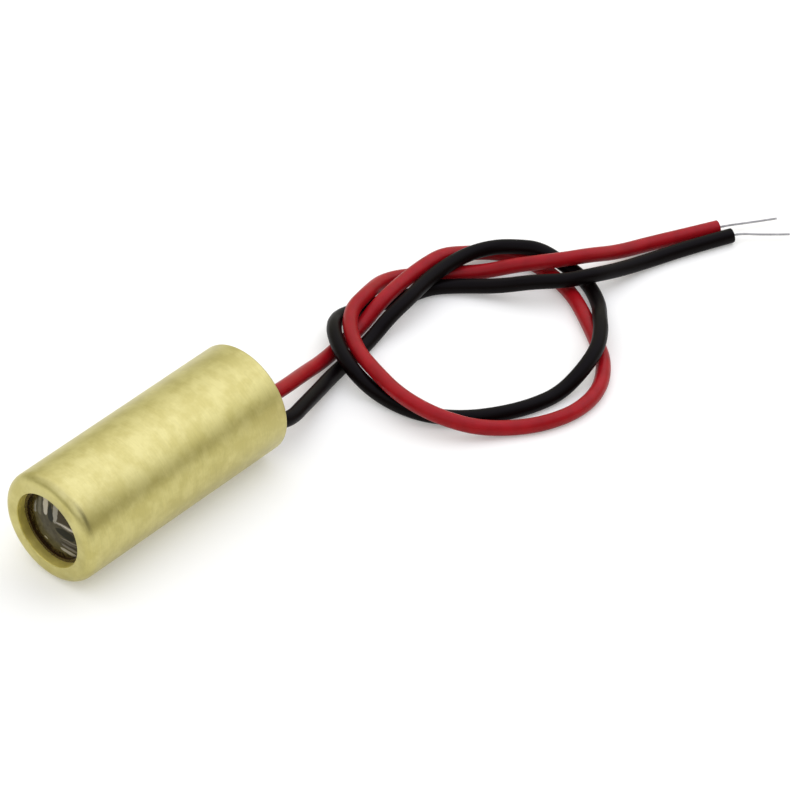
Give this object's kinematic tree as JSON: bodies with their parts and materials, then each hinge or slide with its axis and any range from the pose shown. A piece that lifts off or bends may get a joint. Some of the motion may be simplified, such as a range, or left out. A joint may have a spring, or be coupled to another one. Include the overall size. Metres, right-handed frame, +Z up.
{
  "type": "laser diode module",
  "caption": "Small brass laser diode module with a lens at the front and a knotted pair of red and black supply wires at the rear.",
  "frame": {"origin": "under the middle of the barrel, on the surface that it lies on", "axes": "+Z up, +Y along the barrel from its front lens to its wires, the beam leaves towards -Y"},
  "size_m": [0.0226, 0.0697, 0.009],
  "materials": {
    "barrel_brass": "fine turned, satin",
    "lens_plastic": "clear moulded, smoke grey",
    "lens_ring": "matt",
    "cell_brass": "turned",
    "lens_glass": "polished",
    "retainer_brass": "turned",
    "spring_steel": "drawn wire",
    "holder_brass": "turned",
    "gilt_steel": "thin gilt over steel",
    "post_copper": "thin gilt over copper",
    "submount_ceramic": "fired ceramic",
    "chip": "polished die",
    "cap_nickel": "nickel plated",
    "seal_glass": "fused bead",
    "board_laminate": "solder mask",
    "pad_copper": "tinned copper foil",
    "moulded_black": "moulded epoxy",
    "trimmer_body": "fired ceramic",
    "rotor_metal": "plated",
    "chip_resistor": "glazed",
    "chip_capacitor": "fired ceramic",
    "solder": "bright",
    "potting_resin": "cast black resin",
    "insulation_red": "satin insulation",
    "insulation_black": "satin insulation",
    "tinned_copper": "tinned strands"
  },
  "bodies": {
    "root": {"housing": "barrel_brass", "front_lens": "lens_plastic", "lens_ring": "lens_ring", "lens_cell": "cell_brass", "collimating_lens": "lens_glass", "lens_retainer": "retainer_brass", "focus_spring": "spring_steel", "diode_holder": "holder_brass", "diode_base": "gilt_steel", "heat_post": "post_copper", "submount": "submount_ceramic", "laser_chip": "chip", "monitor_photodiode": "chip", "diode_cap": "cap_nickel", "diode_window": "lens_glass", "diode_leads": "gilt_steel", "lead_seals": "seal_glass", "driver_board": "board_laminate", "board_pads": "pad_copper", "driver_transistor": "moulded_black", "trimmer": "trimmer_body", "trimmer_rotor": "rotor_metal", "resistors": "chip_resistor", "capacitor": "chip_capacitor", "lead_solder": "solder", "wire_solder": "solder", "potting": "potting_resin", "red_wire": "insulation_red", "black_wire": "insulation_black", "red_wire_end": "tinned_copper", "black_wire_end": "tinned_copper", "red_inner_end": "tinned_copper", "black_inner_end": "tinned_copper"}
  },
  "joints": []
}
